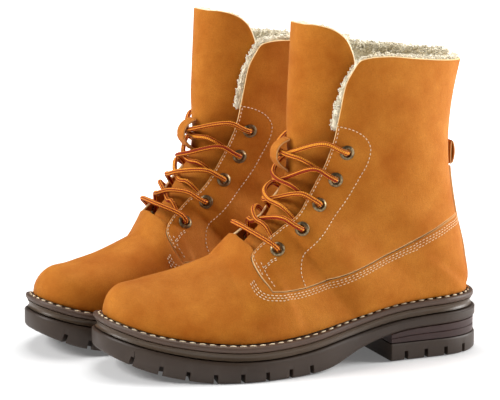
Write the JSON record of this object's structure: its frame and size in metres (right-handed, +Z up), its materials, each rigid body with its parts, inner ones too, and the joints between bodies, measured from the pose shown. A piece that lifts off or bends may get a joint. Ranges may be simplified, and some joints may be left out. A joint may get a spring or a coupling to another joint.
{
  "type": "insulated hunting boots",
  "caption": "Pair of mid-height lace-up winter boots: nubuck uppers, fleece lining, tall tongues, stitched welts, lugged soles and stacked heels.",
  "frame": {"origin": "centre of the pair's footprint on the ground", "axes": "+Z up, toes towards -Y; the left boot is on the +X side"},
  "size_m": [0.226, 0.3116, 0.2411],
  "materials": {
    "nubuck": "brushed, matte",
    "fleece": "deep curly pile",
    "outsole_rubber": "matte moulded",
    "stack_rubber": "satin",
    "midsole_rubber": "matte",
    "welt_strip": "waxed",
    "lace_braid": "round braid, two colours",
    "eyelet_brass": "antique",
    "shank_steel": "plain",
    "fibre_board": "bonded board"
  },
  "bodies": {
    "left_boot": {"left_outsole": "outsole_rubber", "left_heel_stack": "stack_rubber", "left_heel_lift": "outsole_rubber", "left_midsole": "midsole_rubber", "left_welt": "welt_strip", "left_shank": "shank_steel", "left_insole_board": "fibre_board", "left_footbed": "fleece", "left_vamp": "nubuck", "left_quarter_lateral": "nubuck", "left_quarter_medial": "nubuck", "left_backstay": "nubuck", "left_heel_counter": "fibre_board", "left_toe_puff": "fibre_board", "left_shaft_lining": "fleece", "left_tongue": "nubuck", "left_lace_keeper": "nubuck", "left_lace": "lace_braid", "left_eyelet_lateral_1": "eyelet_brass", "left_eyelet_lateral_2": "eyelet_brass", "left_eyelet_lateral_3": "eyelet_brass", "left_eyelet_lateral_4": "eyelet_brass", "left_eyelet_lateral_5": "eyelet_brass", "left_eyelet_medial_1": "eyelet_brass", "left_eyelet_medial_2": "eyelet_brass", "left_eyelet_medial_3": "eyelet_brass", "left_eyelet_medial_4": "eyelet_brass", "left_eyelet_medial_5": "eyelet_brass"},
    "left_flap": {"left_tongue_flap": "nubuck"},
    "left_tab": {"left_pull_tab": "nubuck"},
    "right_boot": {"right_outsole": "outsole_rubber", "right_heel_stack": "stack_rubber", "right_heel_lift": "outsole_rubber", "right_midsole": "midsole_rubber", "right_welt": "welt_strip", "right_shank": "shank_steel", "right_insole_board": "fibre_board", "right_footbed": "fleece", "right_vamp": "nubuck", "right_quarter_lateral": "nubuck", "right_quarter_medial": "nubuck", "right_backstay": "nubuck", "right_heel_counter": "fibre_board", "right_toe_puff": "fibre_board", "right_shaft_lining": "fleece", "right_tongue": "nubuck", "right_lace_keeper": "nubuck", "right_lace": "lace_braid", "right_eyelet_lateral_1": "eyelet_brass", "right_eyelet_lateral_2": "eyelet_brass", "right_eyelet_lateral_3": "eyelet_brass", "right_eyelet_lateral_4": "eyelet_brass", "right_eyelet_lateral_5": "eyelet_brass", "right_eyelet_medial_1": "eyelet_brass", "right_eyelet_medial_2": "eyelet_brass", "right_eyelet_medial_3": "eyelet_brass", "right_eyelet_medial_4": "eyelet_brass", "right_eyelet_medial_5": "eyelet_brass"},
    "right_flap": {"right_tongue_flap": "nubuck"},
    "right_tab": {"right_pull_tab": "nubuck"}
  },
  "joints": [
    {"name": "right_boot_lift", "type": "slide", "parent": "left_boot", "child": "right_boot", "axis": [0, 0, 1], "range_m": [0, 0.3]},
    {"name": "left_flap_fold", "type": "hinge", "parent": "left_boot", "child": "left_flap", "pos_m": [0.05598, 0.01036, 0.176], "axis": [1, 0, 0], "range_deg": [0, 110], "stiffness_Nm_per_rad": 0.03},
    {"name": "left_tab_flex", "type": "hinge", "parent": "left_boot", "child": "left_tab", "pos_m": [0.05598, 0.13556, 0.1348], "axis": [-1, 0, 0], "range_deg": [0, 45], "stiffness_Nm_per_rad": 0.004},
    {"name": "right_flap_fold", "type": "hinge", "parent": "right_boot", "child": "right_flap", "pos_m": [-0.05913, -0.01899, 0.176], "axis": [0.9955, 0.0946, 0], "range_deg": [0, 110], "stiffness_Nm_per_rad": 0.03},
    {"name": "right_tab_flex", "type": "hinge", "parent": "right_boot", "child": "right_tab", "pos_m": [-0.07098, 0.10565, 0.1348], "axis": [-0.9955, -0.0946, 0], "range_deg": [0, 45], "stiffness_Nm_per_rad": 0.004}
  ]
}
